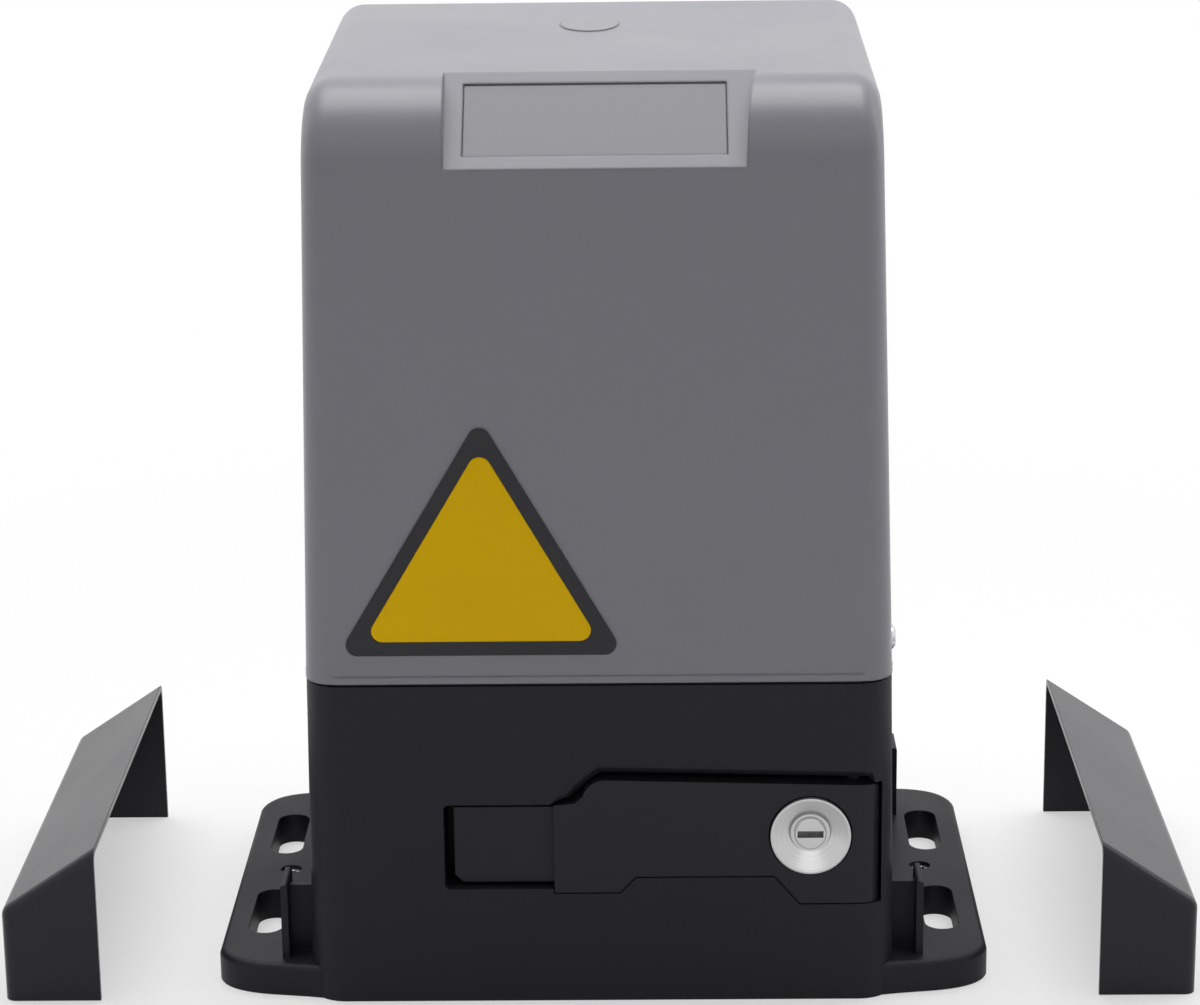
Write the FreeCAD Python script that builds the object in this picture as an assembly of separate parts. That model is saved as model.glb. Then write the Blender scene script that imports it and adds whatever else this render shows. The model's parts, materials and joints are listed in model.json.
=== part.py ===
import FreeCAD, Part
import math
import os

from FreeCAD import Vector as V

# Sliding gate motor. Millimetres. X runs along the gate, Y towards the gate, Z up.
# The origin is the centre of the underside that stands on the foundation plate.

# body, seen in plan
FRONT = -91.0
BACK = 91.0
HALF_FLOOR = 105.0
HALF_SEAM = 103.4
CORNER = 13.0
SEAM_Z = 119.4
BASE_WALL = 4.0
FLOOR = 6.0

# cover
COVER_Z = 120.4
COVER_WALL = 3.0
COVER_HALF_LOW = 103.3
COVER_HALF_310 = 98.4
TOP_FRONT_Z = 329.0
TOP_BACK_Z = 336.0
SHOULDER_R = 28.0
BACK_R = 15.0
SIDE_R = 10.0

# inclined panel cut across the front shoulder
PANEL_Y = FRONT + 0.2
PANEL_Z = 302.5
PANEL_RUN = 31.8
PANEL_RISE = 27.8
PANEL_DEPTH = 1.2
INSERT_X = (-43.6, 45.5)
INSERT_S = (6.0, 36.8)
BADGE_Y = FRONT + 119.5
BADGE_HALF = (10.75, 14.5)

# mounting wings
WING_X = 139.8
WING_Z = 11.7
SLOT_X = 125.0
SLOT_W = 12.5
SLOT_L = 41.5
SLOT_Y = (-35.0, 43.0)
LEVEL_X = 121.0
LEVEL_Y = 6.0

# loose flange hoods
HOOD_X_RIGHT = 178.4
HOOD_X_LEFT = 180.9
HOOD_W = 34.6
HOOD_IN_Z = 57.8
HOOD_OUT_Z = 34.7
HOOD_Y = (FRONT + 2.0, FRONT + 184.6)
HOOD_WALL = 2.0

# release lever, outlined in X and Z
LEVER_FACE = 0.3
LEVER_DEPTH = 14.0
LEVER_GAP = 0.35
LEVER_END_GAP = 0.9
LIP_WALL = 1.2
PIVOT_X = 90.0
PIVOT_Y = FRONT + 9.5
PIN_R = 3.0
POCKET_DEPTH = 32.0

# lock
LOCK_X = 74.5
LOCK_Z = 62.7
BEZEL_R = 14.5
BARREL_R = 9.4
PLUG_R = 5.75

# drive train
SHAFT_Z = 62.0
SHAFT_R = 12.5
PINION_M = 4.0
PINION_T = 18
PINION_Y = (94.0, 122.0)
WHEEL_M = 2.5
WHEEL_T = 30
WHEEL_Y = 40.0
WHEEL_W = 16.0
WORM_R = 11.0
WORM_X = -(WHEEL_M * WHEEL_T / 2 + WORM_R)
WORM_LEAD = math.pi * WHEEL_M
RUN = 0.05

# gearbox chamber
BOX_X = (-73.0, 51.0)
BOX_Y = (13.0, 71.0)
BOX_TOP = 106.0
BOX_WALL = 5.0

# motor
MOTOR_R = 43.0
LID_Z = 113.0
CAN_TOP = 200.0


# ---------- helpers ----------

def box(x0, x1, y0, y1, z0, z1):
    return Part.makeBox(x1 - x0, y1 - y0, z1 - z0, V(x0, y0, z0))


def rod_z(x, y, z0, z1, r):
    return Part.makeCylinder(r, z1 - z0, V(x, y, z0), V(0, 0, 1))


def rod_y(x, z, y0, y1, r):
    return Part.makeCylinder(r, y1 - y0, V(x, y0, z), V(0, 1, 0))


def rod_x(y, z, x0, x1, r):
    return Part.makeCylinder(r, x1 - x0, V(x0, y, z), V(1, 0, 0))


def rounded_rect(hx, y0, y1, r, z):
    k = r * (1 - math.sqrt(0.5))
    c = [
        Part.Arc(V(hx - r, y0, z), V(hx - k, y0 + k, z), V(hx, y0 + r, z)),
        Part.Arc(V(hx, y1 - r, z), V(hx - k, y1 - k, z), V(hx - r, y1, z)),
        Part.Arc(V(r - hx, y1, z), V(k - hx, y1 - k, z), V(-hx, y1 - r, z)),
        Part.Arc(V(-hx, y0 + r, z), V(k - hx, y0 + k, z), V(r - hx, y0, z)),
    ]
    edges = []
    for i in range(4):
        a = c[i].toShape()
        b = c[(i + 1) % 4]
        edges.append(a)
        start = a.Vertexes[-1].Point
        end = b.StartPoint
        edges.append(Part.makeLine(start, end))
    return Part.Wire(edges)


def tapered(hx0, hx1, y0, y1, r, z0, z1):
    low = rounded_rect(hx0, y0, y1, r, z0)
    high = rounded_rect(hx1, y0, y1, r, z1)
    return Part.makeLoft([low, high], True, True)


def prism_yz(points, x0, x1):
    wire = Part.makePolygon([V(x0, y, z) for y, z in points + points[:1]])
    return Part.Face(wire).extrude(V(x1 - x0, 0, 0))


def prism_xz(points, y0, y1):
    wire = Part.makePolygon([V(x, y0, z) for x, z in points + points[:1]])
    return Part.Face(wire).extrude(V(0, y1 - y0, 0))


def prism_xy(points, z0, z1):
    wire = Part.makePolygon([V(x, y, z0) for x, y in points + points[:1]])
    return Part.Face(wire).extrude(V(0, 0, z1 - z0))


def revolve_y(points, x, z):
    wire = Part.makePolygon([V(x + r, y, z) for r, y in points + points[:1]])
    return Part.Face(wire).revolve(V(x, 0, z), V(0, 1, 0), 360)


def revolve_z(points, x, y):
    wire = Part.makePolygon([V(x + r, y, z) for r, z in points + points[:1]])
    return Part.Face(wire).revolve(V(x, y, 0), V(0, 0, 1), 360)


def joined(first, *others):
    return first.multiFuse(list(others)).removeSplitter()


def mirrored(shape):
    return shape.mirror(V(0, 0, 0), V(1, 0, 0))


def edges_where(shape, test):
    return [e for e in shape.Edges if test(e)]


def hexagon(x, z, flats, turn):
    r = flats / math.sqrt(3)
    pts = []
    for i in range(6):
        a = math.radians(turn + 60 * i)
        pts.append((x + r * math.cos(a), z + r * math.sin(a)))
    return pts


# ---------- cover ----------

def cover_half(z, inset):
    slope = (COVER_HALF_LOW - COVER_HALF_310) / (310.0 - COVER_Z)
    return COVER_HALF_LOW - slope * (z - COVER_Z) - inset


def pillow(inset, floor_z):
    """The cover's drafted outer form, or the same form smaller by the wall."""
    y0 = FRONT + 0.2 + inset
    y1 = BACK - 0.2 - inset
    lean = 2.4
    profile = [
        (y0, floor_z),
        (y0, TOP_FRONT_Z - inset),
        (y1 - lean, TOP_BACK_Z - inset),
        (y1, floor_z),
    ]
    body = prism_yz(profile, -120, 120)
    tall = TOP_BACK_Z + 5
    h0 = cover_half(floor_z, inset)
    h1 = cover_half(tall, inset)
    sides = prism_xz([(-h0, floor_z), (h0, floor_z), (h1, tall), (-h1, tall)], -120, 120)
    body = body.common(sides)

    def at(e, test):
        return all(test(v.Point) for v in e.Vertexes)

    front = edges_where(body, lambda e: at(e, lambda p: p.z > 300 and p.y < y0 + 1))
    body = body.makeFillet(SHOULDER_R - inset, front)
    rear = edges_where(body, lambda e: at(e, lambda p: p.z > 300 and p.y > y1 - lean - 1))
    body = body.makeFillet(BACK_R - inset, rear)

    def on_side(e):
        flat = abs(e.Vertexes[0].Point.x - e.Vertexes[-1].Point.x)
        across = e.Length > 150 and flat > 100
        low = at(e, lambda p: p.z < floor_z + 0.1)
        return not across and not low and flat < 20
    chain = edges_where(body, on_side)
    return body.makeFillet(SIDE_R - inset, chain)


def panel_frame():
    angle = math.degrees(math.atan2(PANEL_RISE, PANEL_RUN))
    return FreeCAD.Placement(V(0, PANEL_Y, PANEL_Z), FreeCAD.Rotation(V(1, 0, 0), angle))


def on_panel(x0, x1, s0, s1, n0, n1):
    piece = box(x0, x1, s0, s1, n0, n1)
    piece.Placement = panel_frame().multiply(piece.Placement)
    return piece


def panel_notch(grow):
    """What the inclined panel takes off the shoulder, with sides that flare to the rear."""
    run = math.hypot(PANEL_RUN, PANEL_RISE)
    wedge = on_panel(-90, 90, -20, run + 30, -grow, 60)
    y0 = FRONT - 10
    y1 = FRONT + 75
    sides = [(-49.75 - grow, y0), (50.8 + grow, y0), (61.1 + grow, y1), (-51.9 - grow, y1)]
    return wedge.common(prism_xy(sides, 250, 400))


def cover_shell():
    outer = pillow(0.0, COVER_Z)
    wide = COVER_HALF_LOW + 0.3
    rim = tapered(wide + 0.05, wide, FRONT - 0.15, BACK + 0.15, CORNER, COVER_Z, COVER_Z + 2.6)
    outer = outer.fuse(rim)
    outer = outer.cut(panel_notch(0.0))
    inner = pillow(COVER_WALL, COVER_Z - 5)
    inner = inner.cut(panel_notch(COVER_WALL + PANEL_DEPTH))
    shell = outer.cut(inner)
    x0, x1 = INSERT_X
    s0, s1 = INSERT_S
    shell = shell.cut(on_panel(x0 - 0.3, x1 + 0.3, s0 - 0.3, s1 + 0.3, -PANEL_DEPTH, 5))
    shell = shell.cut(badge_seat(0.15, 0.6))
    ribs = []
    for y in (-36.0, -78.0):
        rib = box(-97.5, -92.0, y - 1, y + 1, 142, 300)
        ribs += [rib, mirrored(rib)]
    envelope = pillow(1.0, COVER_Z)
    shell = shell.fuse([r.common(envelope) for r in ribs])
    seat = screw_seat()
    for x, y in side_screw_places():
        hole = rod_x(y, SCREW_Z, 93.0, 105.0, 2.2)
        spot = rod_x(y, SCREW_Z, seat, seat + 5.0, SPOT_R)
        tool = joined(hole, spot)
        shell = shell.cut(tool if x > 0 else mirrored(tool))
    return shell.removeSplitter()


def on_top(z0, z1, grow):
    """An oval slice at the badge's place, square to the sloping top."""
    rise = (TOP_BACK_Z - TOP_FRONT_Z) / (BACK - FRONT - 2.8)
    half_x, half_y = BADGE_HALF
    oval = Part.Ellipse(V(0, 0, z0), half_y + grow, half_x + grow)
    disc = Part.Face(Part.Wire(oval.toShape())).extrude(V(0, 0, z1 - z0))
    disc.rotate(V(0, 0, 0), V(0, 0, 1), 90)
    disc.rotate(V(0, 0, 0), V(1, 0, 0), math.degrees(math.atan(rise)))
    disc.translate(V(-2.2, BADGE_Y, TOP_FRONT_Z + rise * (BADGE_Y - FRONT)))
    return disc


def badge_seat(grow, deep):
    return on_top(-deep, 9.0, grow)


def top_badge():
    return joined(on_top(-0.6, 0.12, 0.0), on_top(0.1, 0.35, -0.3))


def panel_insert():
    x0, x1 = INSERT_X
    s0, s1 = INSERT_S
    return on_panel(x0, x1, s0, s1, -PANEL_DEPTH, -PANEL_DEPTH + 0.7)


def rounded_triangle(inset, r):
    """The front plate's outline in X and Z, moved in from its edge."""
    pts = [V(-91.0, 0, 131.0), V(9.4, 0, 131.0), V(-39.8, 0, 216.8)]
    wire = Part.makePolygon(pts + pts[:1])
    face = Part.Face(wire)
    if inset:
        face = face.makeOffset2D(-inset)
    body = face.extrude(V(0, 1, 0))
    upright = edges_where(body, lambda e: abs(e.tangentAt(e.FirstParameter).y) > 0.99)
    body = body.makeFillet(r, upright)
    flats = [f for f in body.Faces if abs(f.CenterOfMass.y) < 1e-6]
    return flats[0]


def front_plate():
    face = rounded_triangle(0.0, 4.0)
    face.translate(V(0, FRONT - 0.4, 0))
    plate = face.extrude(V(0, 0.6, 0))
    inner = rounded_triangle(5.0, 4.0)
    inner.translate(V(0, FRONT - 1.0, 0))
    return plate.cut(inner.extrude(V(0, 0.9, 0)))


def front_plate_field():
    face = rounded_triangle(5.1, 4.0)
    face.translate(V(0, FRONT - 0.35, 0))
    return face.extrude(V(0, 0.25, 0))


# ---------- cover screws ----------

SCREW_Z = 130.0
SPOT_R = 4.6


def screw_seat():
    return cover_half(SCREW_Z + SPOT_R, 0.06)


def side_screw_places():
    return [(COVER_HALF_LOW, FRONT + 20.0), (-COVER_HALF_LOW, BACK - 32.0)]


def side_screw(sign, y):
    x = screw_seat()
    along = V(1, 0, 0)
    head = Part.makeCylinder(4.2, 1.2, V(x, y, SCREW_Z), along)
    dome = Part.makeCone(4.2, 2.9, 0.85, V(x + 1.2, y, SCREW_Z), along)
    slot = box(x + 1.1, x + 4, y - 4.5, y + 4.5, SCREW_Z - 0.5, SCREW_Z + 0.5)
    shank = rod_x(y, SCREW_Z, x - 13.0, x, 2.0)
    screw = joined(head, dome, shank).cut(slot)
    return screw if sign > 0 else mirrored(screw)


def cover_screws():
    return Part.makeCompound([side_screw(x, y) for x, y in side_screw_places()])


# ---------- base ----------

def wing():
    """One mounting wing, right side: convex front edge, rounded rear corner."""
    f = FRONT
    front = Part.BSplineCurve()
    front.interpolate([V(92, f + 0.8, 0), V(102, f + 3.6, 0), V(112, f + 5.4, 0), V(124, f + 7.6, 0),
                       V(133.5, f + 12.0, 0), V(WING_X, f + 22.0, 0)])
    rear = Part.BSplineCurve()
    rear.interpolate([V(WING_X, f + 160.0, 0), V(138.2, f + 169.0, 0), V(133.5, f + 175.6, 0),
                      V(124, f + 180.2, 0), V(112, f + 181.3, 0), V(96, f + 181.6, 0)])
    edges = [
        front.toShape(),
        Part.makeLine(V(WING_X, f + 22.0, 0), V(WING_X, f + 160.0, 0)),
        rear.toShape(),
        Part.makeLine(V(96, f + 181.6, 0), V(92, f + 181.6, 0)),
        Part.makeLine(V(92, f + 181.6, 0), V(92, f + 0.8, 0)),
    ]
    plate = Part.Face(Part.Wire(edges)).extrude(V(0, 0, WING_Z))
    top = edges_where(plate, lambda e: e.BoundBox.ZMin > WING_Z - 0.1 and e.BoundBox.XMax > 97)
    try:
        plate = plate.makeFillet(2.2, top)
    except Exception:
        pass
    return plate


def slot_cut(x, y):
    half = SLOT_W / 2
    reach = SLOT_L / 2 - half
    body = box(x - half, x + half, y - reach, y + reach, -1, WING_Z + 1)
    return joined(body, rod_z(x, y - reach, -1, WING_Z + 1, half), rod_z(x, y + reach, -1, WING_Z + 1, half))


def wing_ribs():
    """Upright locating walls for the hood: a thin outer wall and a web back to the body."""
    out = []
    for y in (FRONT + 12.0, FRONT + 150.0):
        wall = box(113.2, 115.8, y, y + 18.0, WING_Z - 1, 40.0)
        top = edges_where(wall, lambda e: e.BoundBox.ZMin > 39.9 and e.Length > 10)
        out.append(wall.makeFillet(1.0, top))
        out.append(box(100.0, 114.0, y + 8.0, y + 10.6, WING_Z - 1, 37.0))
    return out


def lever_outline():
    """The lever's closed outline in X and Z, at Y = 0."""
    p = [
        V(-16.5, 0, 41.4), V(6.8, 0, 41.4), V(12.5, 0, 47.3), V(61.9, 0, 47.3),
        V(70.8, 0, 36.8), V(98.9, 0, 36.8), V(98.9, 0, 78.6),
    ]
    edges = [Part.makeLine(p[i], p[i + 1]) for i in range(6)]
    edges.append(Part.Arc(V(98.9, 0, 78.6), V(98.15, 0, 80.55), V(96.2, 0, 81.35)).toShape())
    edges.append(Part.makeLine(V(96.2, 0, 81.35), V(1.5, 0, 83.9)))
    edges.append(Part.Arc(V(1.5, 0, 83.9), V(-3.4, 0, 82.0), V(-6.0, 0, 77.9)).toShape())
    edges.append(Part.makeLine(V(-6.0, 0, 77.9), V(-9.0, 0, 75.2)))
    edges.append(Part.makeLine(V(-9.0, 0, 75.2), V(-16.5, 0, 74.6)))
    edges.append(Part.makeLine(V(-16.5, 0, 74.6), p[0]))
    return Part.Wire(edges)


def outline_grown(d):
    face = Part.Face(lever_outline())
    return face.makeOffset2D(d).OuterWire if d else face.OuterWire


def moved(shape, y):
    out = shape.copy()
    out.translate(V(0, y, 0))
    return out


SCOOP = ((-1.2, 9.5), (0.0, 8.0), (1.4, 4.6), (3.8, 2.2), (8.2, 0.7))


def scoop_section(depth, g):
    """The hollow lip above the lever, at one depth; it narrows from the front face inwards."""
    pts = [(-17.5, 60.0), (-17.6 - 0.1 * g, 74.2), (-10.2 - 0.35 * g, 74.6 + 0.75 * g), (-6.5 - 0.6 * g, 77.9 + 0.8 * g),
           (1.0 - 0.4 * g, 83.9 + g), (94.5 + 0.35 * g, 81.4 + g), (99.5, 76.0), (99.5, 60.0)]
    return Part.makePolygon([V(x, FRONT + depth, z) for x, z in pts + pts[:1]])


def lever_pocket():
    """Room for the lever: the opening, the widened hinge end, the finger recess and the scooped lip."""
    opening = Part.Face(moved(outline_grown(LEVER_GAP), FRONT - 5)).extrude(V(0, POCKET_DEPTH + 5, 0))
    hinge_end = box(80.0, 102.8, FRONT, FRONT + POCKET_DEPTH, 36.45, 82.1)
    w = LIP_WALL
    hinge_end = hinge_end.common(tapered(HALF_FLOOR - w, HALF_SEAM - w, FRONT + w, BACK, CORNER - w, 0, SEAM_Z))
    slit = box(95.0, 98.9 + LEVER_END_GAP, FRONT - 5, FRONT + 8, 36.45, 82.05)
    finger = box(-55.5, -16.0, FRONT - 5, FRONT + 22.0, 43.0, 75.0)
    left = edges_where(finger, lambda e: abs(e.tangentAt(e.FirstParameter).y) > 0.99 and e.BoundBox.XMax < -50)
    finger = finger.makeFillet(2.0, left)
    scoop = Part.makeLoft([scoop_section(d, g) for d, g in SCOOP], True, True)
    return joined(opening, hinge_end, slit, finger, scoop)


def gearbox_block():
    x0, x1 = BOX_X
    y0, y1 = BOX_Y
    block = box(x0, x1, y0, y1, 0.5, BOX_TOP)
    upright = edges_where(block, lambda e: abs(e.tangentAt(e.FirstParameter).z) > 0.99)
    block = block.makeFillet(6.0, upright)
    nose = rod_y(0, SHAFT_Z, y1 - 2, BACK - 1, 31.0)
    boss = rod_y(0, SHAFT_Z, -5.0, y0 + 2, 25.0)
    webs = []
    for a in (45, 135, 225, 315):
        web = box(28.0, 46.0, y1 - 2, BACK - 2, -2.5, 2.5)
        web.rotate(V(0, 0, 0), V(0, 1, 0), a)
        web.translate(V(0, 0, SHAFT_Z))
        webs.append(web)
    return joined(block, nose, boss, *webs)


def gearbox_room():
    x0, x1 = BOX_X
    y0, y1 = BOX_Y
    w = BOX_WALL
    room = box(x0 + w, x1 - w, y0 + w, y1 - w, 14.0, BOX_TOP + 1)
    upright = edges_where(room, lambda e: abs(e.tangentAt(e.FirstParameter).z) > 0.99)
    room = room.makeFillet(4.0, upright)
    rear = rod_y(0, SHAFT_Z, 69.9, BACK + 5, 26.0)
    shaft = rod_y(0, SHAFT_Z, y1 - w - 1, BACK + 5, 17.0)
    front = rod_y(0, SHAFT_Z, 5.0, y0 + w + 1, 21.0)
    plunger = rod_y(0, SHAFT_Z, -8.0, 6.0, 4.08)
    seat = rod_z(WORM_X, WHEEL_Y, 8.0, 15.0, 16.0)
    for x, y in LID_SCREWS:
        room = room.cut(rod_z(x, y, 13.0, BOX_TOP + 2, 6.0))
    return joined(room, rear, shaft, front, plunger, seat)


LID_SCREWS = [(-67.5, 18.5), (45.5, 18.5), (45.5, 65.5), (-67.5, 65.5)]
LID_SCREW_R = 2.5
POSTS = [(-88.0, -46.0), (88.0, -46.0), (-88.0, 76.0), (88.0, 76.0)]


def base_housing():
    outer = tapered(HALF_FLOOR, HALF_SEAM, FRONT, BACK, CORNER, 0, SEAM_Z)
    w = BASE_WALL
    cavity = tapered(HALF_FLOOR - w, HALF_SEAM - w, FRONT + w, BACK - w, CORNER - w, FLOOR, SEAM_Z + 1)
    pocket_case = box(-59.5, 99.0, FRONT + 1, FRONT + POCKET_DEPTH + 3, 28.0, 93.0)
    corner_case = box(80.0, 104.0, FRONT + 3, FRONT + POCKET_DEPTH + 3, 28.0, 93.0)
    grown = tapered(HALF_FLOOR, HALF_SEAM, FRONT, BACK, CORNER, 0, SEAM_Z)
    case = joined(pocket_case, corner_case).common(grown)
    shell = outer.cut(cavity)
    ring_out = rounded_rect(HALF_SEAM - 3.6, FRONT + 3.6, BACK - 3.6, 9.4, 112.0)
    ring_in = rounded_rect(HALF_SEAM - 5.6, FRONT + 5.6, BACK - 5.6, 7.4, 112.0)
    lip = Part.Face(ring_out).extrude(V(0, 0, 13.4)).cut(Part.Face(ring_in).extrude(V(0, 0, 13.4)))
    posts = [rod_z(x, y, FLOOR - 1, LID_Z, 5.0) for x, y in POSTS]
    lugs = []
    for x, y in side_screw_places():
        s = 1 if x > 0 else -1
        lug = box(min(s * 91.0, s * 99.0), max(s * 91.0, s * 99.0), y - 8, y + 8, 108.0, 137.0)
        lugs.append(lug)
    right = wing()
    ribs = wing_ribs()
    pieces = [lip, case, gearbox_block(), right, mirrored(right)] + posts + lugs
    for rib in ribs:
        pieces += [rib, mirrored(rib)]
    base = shell.multiFuse(pieces)
    cuts = [lever_pocket(), gearbox_room()]
    cuts.append(rod_y(0, SHAFT_Z, FRONT + POCKET_DEPTH - 1, FRONT + POCKET_DEPTH + 4, 6.5))
    for x, y in LID_SCREWS:
        cuts.append(rod_z(x, y, BOX_TOP - 14.0, BOX_TOP + 1, LID_SCREW_R))
    for s in (-1, 1):
        for y in SLOT_Y:
            cuts.append(slot_cut(s * SLOT_X, y))
        cuts.append(rod_z(s * LEVEL_X, LEVEL_Y, -1, WING_Z + 1, 4.05))
    for x, y in side_screw_places():
        s = 1 if x > 0 else -1
        a = min(s * 80, s * 99.2)
        b = max(s * 80, s * 99.2)
        cuts.append(box(a, b, y - 2.6, y + 2.6, SCREW_Z, 140))
        cuts.append(rod_x(y, SCREW_Z, a, b, 2.6))
    cuts.append(rod_z(CABLE_X, CABLE_Y, -1, FLOOR + 1, 14.0))
    cuts.append(rod_z(PIVOT_X, PIVOT_Y, 29.0, 90.0, PIN_R))
    groove_out = rounded_rect(HALF_SEAM - 0.9, FRONT + 0.9, BACK - 0.9, 12.1, SEAM_Z - 1.2)
    groove_in = rounded_rect(HALF_SEAM - 2.9, FRONT + 2.9, BACK - 2.9, 10.1, SEAM_Z - 1.2)
    cuts.append(Part.Face(groove_out).extrude(V(0, 0, 3)).cut(Part.Face(groove_in).extrude(V(0, 0, 3))))
    for tool in cuts:
        base = base.cut(tool)
    keeper = box(66.0, 83.0, FRONT + 19.6, FRONT + 23.4, 76.2, 86.0)
    base = base.fuse(keeper)
    return base.removeSplitter()


CABLE_X = 40.0
CABLE_Y = -30.0


def base_gasket():
    out = rounded_rect(HALF_SEAM - 0.9, FRONT + 0.9, BACK - 0.9, 12.1, SEAM_Z - 1.2)
    inn = rounded_rect(HALF_SEAM - 2.9, FRONT + 2.9, BACK - 2.9, 10.1, SEAM_Z - 1.2)
    return Part.Face(out).extrude(V(0, 0, 1.85)).cut(Part.Face(inn).extrude(V(0, 0, 1.85)))


def cable_grommet():
    profile = [(10.0, -0.0), (14.0, -0.0), (14.0, FLOOR), (17.0, FLOOR), (17.0, FLOOR + 2.5), (13.0, FLOOR + 4.5), (10.0, FLOOR + 4.5)]
    profile = [(r, z) for r, z in profile]
    return revolve_z(profile, CABLE_X, CABLE_Y)


def levelling_screws():
    out = []
    for s in (-1, 1):
        body = rod_z(s * LEVEL_X, LEVEL_Y, 0.6, 10.4, 4.0)
        socket = prism_xy(hexagon(s * LEVEL_X, LEVEL_Y, 4.0, 0), 6.0, 11.0)
        out.append(body.cut(socket))
    return Part.makeCompound(out)


# ---------- flange hoods ----------

def hood(inner_x):
    """Right-hand hood: sloped roof, outer wall and two end walls, open inwards and below."""
    def section(t):
        x0 = inner_x - (1 if t else 0)
        x1 = inner_x + HOOD_W - t
        drop = (HOOD_IN_Z - HOOD_OUT_Z) / HOOD_W
        lean = t * math.hypot(1, drop)
        zin = HOOD_IN_Z - lean + (drop if t else 0)
        zout = HOOD_OUT_Z - lean + t * drop
        low = -1 if t else 0
        return [(x0, low), (x1, low), (x1, zout), (x0, zin)]

    def solid(t, y0, y1, r):
        body = prism_xz(section(t), y0, y1)
        knee = edges_where(body, lambda e: abs(e.tangentAt(e.FirstParameter).y) > 0.99
                           and e.BoundBox.XMin > inner_x + HOOD_W - t - 0.1 and e.BoundBox.ZMin > 20)
        body = body.makeFillet(r, knee)
        ends = edges_where(body, lambda e: (e.BoundBox.YLength < 0.01 and e.BoundBox.ZMax > 1
                                            and e.BoundBox.XMax > inner_x + 1))
        ends = [e for e in ends if e.BoundBox.XLength > 1 or e.BoundBox.XMin > inner_x + HOOD_W - t - 0.1]
        ends = [e for e in ends if not (e.BoundBox.ZLength < 0.01)]
        return body.makeFillet(max(r - 1.0, 0.6), ends)

    y0, y1 = HOOD_Y
    outer = solid(0.0, y0, y1, 5.0)
    inner = solid(HOOD_WALL, y0 + HOOD_WALL, y1 - HOOD_WALL, 3.8)
    return outer.cut(inner)


# ---------- release lever ----------

def release_lever():
    skin = tapered(HALF_FLOOR - LEVER_FACE, HALF_SEAM - LEVER_FACE, FRONT + LEVER_FACE, BACK, CORNER - LEVER_FACE, 0, SEAM_Z)
    block = Part.Face(moved(lever_outline(), FRONT - 2)).extrude(V(0, LEVER_DEPTH + 2, 0))
    block = block.common(skin)
    hollow = Part.Face(moved(outline_grown(-3.0), FRONT + 4.5)).extrude(V(0, 20, 0))
    hollow = hollow.common(box(-30, 56.0, FRONT - 5, FRONT + 40, 0, 100))
    lever = block.cut(hollow)
    ribs = [box(x - 1.2, x + 1.2, FRONT + 3.5, FRONT + 12.5, 46.0, 82.0) for x in (18.0, 38.0)]
    cross = box(-14.0, 58.0, FRONT + 3.5, FRONT + 12.5, 60.8, 63.2)
    stiff = [r.common(block) for r in ribs + [cross]]
    push = rod_y(0, SHAFT_Z, FRONT + 3.5, FRONT + 20.0, 5.0)
    tip = prism_xz([(-52.0, 47.6), (-49.0, 44.6), (-15.0, 44.6), (-15.0, 73.2), (-52.0, 73.2)], FRONT + 3.2, FRONT + 6.6)
    lever = joined(lever, push, tip, *stiff)
    relief = box(85.0, 110.0, FRONT + 15.0, FRONT + 30.0, 0, 100)
    lever = lever.cut(relief)
    nose = prism_xy([(94.8, FRONT - 1), (100.5, FRONT - 1), (100.5, FRONT + 6.98)], 30, 90)
    lever = lever.cut(nose)
    heel = prism_xz([(5.65, 41.35), (12.6, 41.35), (12.6, 48.55)], FRONT + 1.0, FRONT + 30)
    toe = prism_xz([(61.5, 48.7), (72.5, 35.7), (61.5, 35.7)], FRONT + 5.0, FRONT + 30)
    lever = lever.cut(heel).cut(toe)
    lever = lever.cut(rod_z(PIVOT_X, PIVOT_Y, 0, 120, PIN_R + RUN))
    lever = lever.cut(rod_y(LOCK_X, LOCK_Z, FRONT - 5, FRONT + 30, BARREL_R))
    lever = lever.cut(rod_y(LOCK_X, LOCK_Z, FRONT - 5, FRONT + 4.0, BEZEL_R + 0.35))
    return lever.removeSplitter()


def lever_pin():
    return rod_z(PIVOT_X, PIVOT_Y, 29.0, 90.0, PIN_R)


# ---------- lock ----------

def lock_barrel():
    f = FRONT
    profile = [
        (PLUG_R + RUN, f + 3.0), (PLUG_R + 1.2, f + 3.0), (BEZEL_R - 1.6, f - 0.6), (BEZEL_R - 0.9, f - 1.0),
        (BEZEL_R - 0.3, f - 0.8), (BEZEL_R, f - 0.1), (BEZEL_R, f + 4.0),
        (BARREL_R, f + 4.0), (BARREL_R, f + 24.0), (PLUG_R + RUN, f + 24.0),
    ]
    return revolve_y(profile, LOCK_X, LOCK_Z)


def lock_nut():
    nut = prism_xz(hexagon(LOCK_X, LOCK_Z, 22.0, 30), FRONT + 15.0, FRONT + 18.5)
    return nut.cut(rod_y(LOCK_X, LOCK_Z, FRONT + 14, FRONT + 20, BARREL_R))


def lock_plug():
    f = FRONT
    plug = rod_y(LOCK_X, LOCK_Z, f + 1.2, f + 24.4, PLUG_R)
    rim = edges_where(plug, lambda e: e.BoundBox.YMax < f + 1.3 and e.Length > 5)
    plug = plug.makeChamfer(0.5, rim)
    key = box(LOCK_X - 4.6, LOCK_X + 4.6, f, f + 12.0, LOCK_Z - 1.25, LOCK_Z + 1.25)
    tang = box(LOCK_X - 3.0, LOCK_X + 3.0, f + 24.0, f + 26.4, LOCK_Z - 3.0, LOCK_Z + 3.0)
    return joined(plug.cut(key), tang)


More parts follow.
